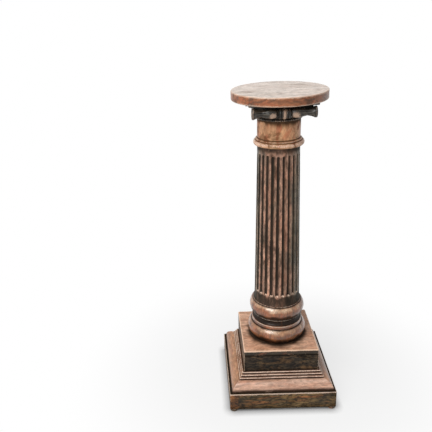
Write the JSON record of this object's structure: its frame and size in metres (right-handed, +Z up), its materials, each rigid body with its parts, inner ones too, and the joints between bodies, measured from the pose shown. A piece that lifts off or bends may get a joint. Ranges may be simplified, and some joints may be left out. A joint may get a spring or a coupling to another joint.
{
  "type": "pedestal column stand",
  "caption": "Round-topped carved wood pedestal: Ionic capital, fluted column on an Attic base, square plinth, mitred moulding and skirt.",
  "frame": {"origin": "on the floor, under the column's axis", "axes": "+Z up along the column; the front, where one bolster's long side shows, faces -Y; +X to the right"},
  "size_m": [0.36, 0.36, 1.065],
  "materials": {
    "top_wood": "waxed hardwood, orange-brown edge, top face worn pale",
    "capital_wood": "carved hardwood, nearly black old stain, rubbed on the high points",
    "neck_wood": "turned hardwood, honey to red-brown, waxed",
    "shaft_wood": "turned and fluted hardwood, brown fillets, dark flutes, waxed",
    "base_wood": "turned hardwood, red-brown, glossy wax, dark hollows",
    "plinth_top_wood": "light orange-brown, rubbed hardwood",
    "plinth_wood": "very dark, mottled hardwood with pale worn arrises",
    "moulding_wood": "pink-brown waxed hardwood, dark quirks",
    "skirt_wood": "olive-brown hardwood with reddish streaks",
    "foot_wood": "dark turned wood pad",
    "inner_wood": "unfinished softwood",
    "steel": "plain dull steel"
  },
  "bodies": {
    "root": {"round_top": "top_wood", "abacus_board": "capital_wood", "capital_block": "capital_wood", "front_bolster": "capital_wood", "rear_bolster": "capital_wood", "echinus_ring": "capital_wood", "neck_drum": "neck_wood", "fluted_shaft": "shaft_wood", "upper_torus": "base_wood", "scotia_ring": "base_wood", "lower_torus": "base_wood", "plinth_top": "plinth_top_wood", "plinth_front": "plinth_wood", "moulding_front": "moulding_wood", "skirt_front": "skirt_wood", "plinth_rear": "plinth_wood", "moulding_rear": "moulding_wood", "skirt_rear": "skirt_wood", "plinth_left": "plinth_wood", "moulding_left": "moulding_wood", "skirt_left": "skirt_wood", "plinth_right": "plinth_wood", "moulding_right": "moulding_wood", "skirt_right": "skirt_wood", "foot_front_left": "foot_wood", "foot_front_right": "foot_wood", "foot_rear_left": "foot_wood", "foot_rear_right": "foot_wood", "bolster_pegs": "inner_wood", "capital_dowel": "inner_wood", "neck_dowel": "inner_wood", "plinth_glue_blocks": "inner_wood", "base_board": "inner_wood", "base_glue_blocks": "inner_wood", "top_screws": "steel", "tie_washer": "steel", "tie_screw": "steel", "base_screws": "steel", "foot_nails": "steel"}
  },
  "joints": []
}
